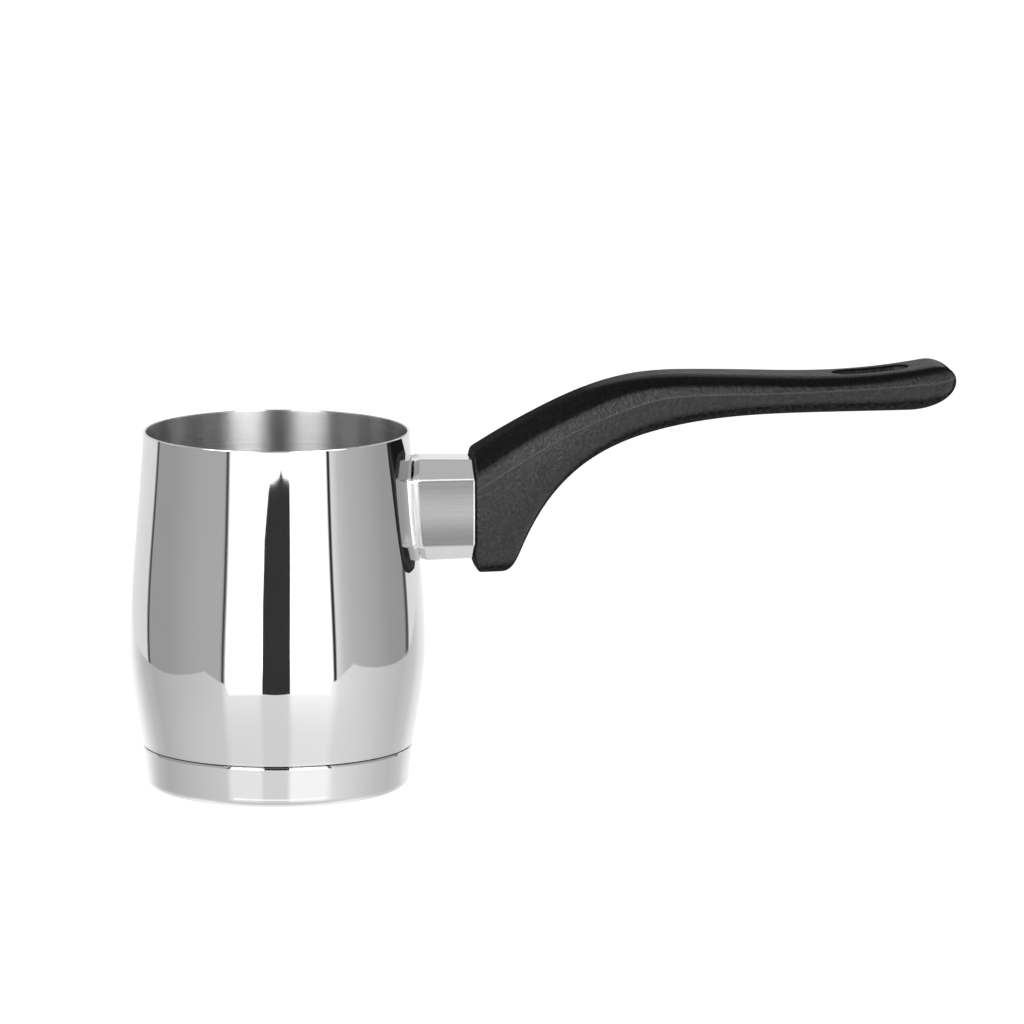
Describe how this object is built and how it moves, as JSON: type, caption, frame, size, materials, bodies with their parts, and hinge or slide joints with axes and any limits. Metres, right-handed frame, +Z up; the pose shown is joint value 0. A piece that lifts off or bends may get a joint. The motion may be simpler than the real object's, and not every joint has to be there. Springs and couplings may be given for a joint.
{
  "type": "candle melting pot",
  "caption": "Barrel-shaped stainless steel melting pot on a capsule base, with an eight-sided flame guard and a long arched black handle that has a hanging slot.",
  "frame": {"origin": "on the pot's axis at the flat underside it stands on", "axes": "+Z up along the pot's axis, +X out along the handle, +Y across"},
  "size_m": [0.2446, 0.0868, 0.1214],
  "materials": {
    "polished_steel": "mirror polished stainless steel outside, brushed in circles inside",
    "polished_steel_base": "mirror polished stainless steel, turned rings underneath",
    "polished_steel_guard": "mirror polished stainless steel",
    "core_aluminium": "plain rolled aluminium",
    "plain_steel": "pressed stainless steel, satin",
    "plated_steel": "zinc plated steel",
    "black_phenolic": "black moulded phenolic, satin with a fine speckled grain"
  },
  "bodies": {
    "root": {"pot_body": "polished_steel", "base_cap": "polished_steel_base", "heat_disc": "core_aluminium", "ferrule": "polished_steel_guard", "handle_bracket": "plain_steel", "weld_nut": "plain_steel", "handle_screw": "plated_steel", "plain_washer": "plated_steel", "spring_washer": "plated_steel", "handle": "black_phenolic"}
  },
  "joints": []
}
